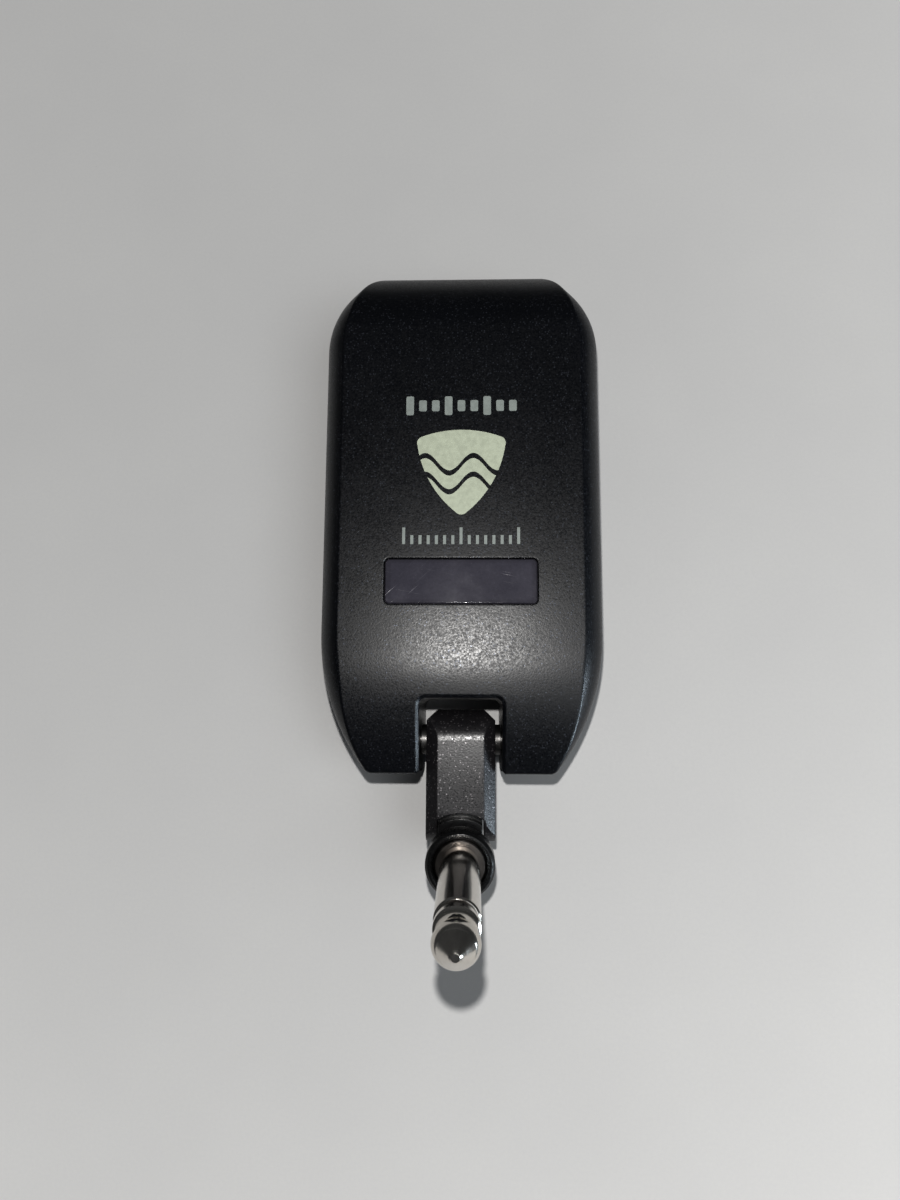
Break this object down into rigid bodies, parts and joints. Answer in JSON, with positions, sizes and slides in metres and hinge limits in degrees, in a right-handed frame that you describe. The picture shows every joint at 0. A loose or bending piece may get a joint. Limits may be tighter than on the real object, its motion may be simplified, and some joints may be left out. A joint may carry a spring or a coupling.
{
  "type": "plug-in guitar headphone amplifier",
  "caption": "Pocket unit that plugs into a guitar: hinged arm with a folding 6.35 mm plug, display window, side buttons and volume wheel.",
  "frame": {"origin": "middle of the flat back that the unit lies on", "axes": "+Z out of the face, +Y along the body to its free end, -Y towards the arm and plug, X across"},
  "size_m": [0.0476, 0.1092, 0.0521],
  "materials": {
    "body_paint": "satin blue-black paint with a fine metallic grain",
    "arm_paint": "satin warm grey-black paint with a sparkling grain",
    "button_plastic": "satin black",
    "label": "smooth dark grey film",
    "black_screw": "blackened",
    "window": "dark purple-grey gloss",
    "grey_print": "light grey ink",
    "cream_print": "cream ink",
    "board": "green solder mask",
    "shield_metal": "tinned sheet",
    "chip": "moulded black",
    "gasket": "closed foam",
    "flex": "amber film",
    "connector": "ivory nylon",
    "battery": "foil pouch",
    "wire": "insulated wire",
    "jack": "moulded black",
    "steel": "plain",
    "hinge_steel": "bright turned",
    "hub": "black",
    "collar": "black",
    "dark_nickel": "dark nickel plate",
    "nickel": "bright nickel plate",
    "insulator": "black",
    "brass": "plain"
  },
  "bodies": {
    "housing": {"battery_cell": "battery", "battery_connector": "connector", "battery_lead": "wire", "battery_pad": "gasket", "board_chips": "chip", "body_lead": "wire", "bracket_screws": "steel", "chip_antenna": "chip", "cover_screws": "black_screw", "display_flex": "flex", "display_gasket": "gasket", "display_module": "shield_metal", "display_window": "window", "encoder_housing": "chip", "flex_connector": "connector", "front_cover": "body_paint", "headphone_jack": "jack", "hinge_bracket_left": "steel", "hinge_bracket_right": "steel", "hinge_pins": "hinge_steel", "lead_connector": "connector", "main_board": "board", "print_level_bars": "grey_print", "print_plectrum": "cream_print", "print_tick_line": "grey_print", "radio_shield_can": "shield_metal", "rear_cover": "body_paint", "rear_label": "label", "tact_switches": "chip", "usb_receptacle": "shield_metal"},
    "volume_wheel": {"volume_wheel": "button_plastic", "encoder_shaft": "steel"},
    "power_button": {"power_button": "button_plastic"},
    "up_button": {"up_button": "button_plastic"},
    "down_button": {"down_button": "button_plastic"},
    "select_button": {"select_button": "button_plastic"},
    "arm": {"arm_upper_shell": "arm_paint", "arm_lower_shell": "arm_paint", "arm_screws": "black_screw", "arm_lead": "wire", "hinge_washers": "hinge_steel", "knuckle_pin": "steel"},
    "plug": {"plug_hub": "hub", "hub_cap": "hub", "plug_collar": "collar", "plug_nut": "dark_nickel", "plug_sleeve": "nickel", "plug_insulator": "insulator", "plug_tip": "nickel", "tip_lug": "brass"}
  },
  "joints": [
    {"name": "arm_hinge", "type": "hinge", "parent": "housing", "child": "arm", "pos_m": [0, -0.03865, 0.0134], "axis": [1, 0, 0], "range_deg": [-90, 60]},
    {"name": "plug_knuckle", "type": "hinge", "parent": "arm", "child": "plug", "pos_m": [0, -0.05015, 0.0134], "axis": [1, 0, 0], "range_deg": [-8.6, 81.4]},
    {"name": "volume_turn", "type": "hinge", "parent": "housing", "child": "volume_wheel", "pos_m": [0.01725, 0.008, 0.0138], "axis": [0, 0, 1], "range_deg": [-140, 140]},
    {"name": "power_button_press", "type": "slide", "parent": "housing", "child": "power_button", "axis": [1, 0, 0], "range_m": [0, 0.00035], "stiffness_N_per_m": 400, "springref_m": -0.0012},
    {"name": "up_button_press", "type": "slide", "parent": "housing", "child": "up_button", "axis": [1, 0, 0], "range_m": [0, 0.00035], "stiffness_N_per_m": 400, "springref_m": -0.0012},
    {"name": "down_button_press", "type": "slide", "parent": "housing", "child": "down_button", "axis": [1, 0, 0], "range_m": [0, 0.00035], "stiffness_N_per_m": 400, "springref_m": -0.0012},
    {"name": "select_button_press", "type": "slide", "parent": "housing", "child": "select_button", "axis": [-1, 0, 0], "range_m": [0, 0.00035], "stiffness_N_per_m": 400, "springref_m": -0.0012}
  ]
}
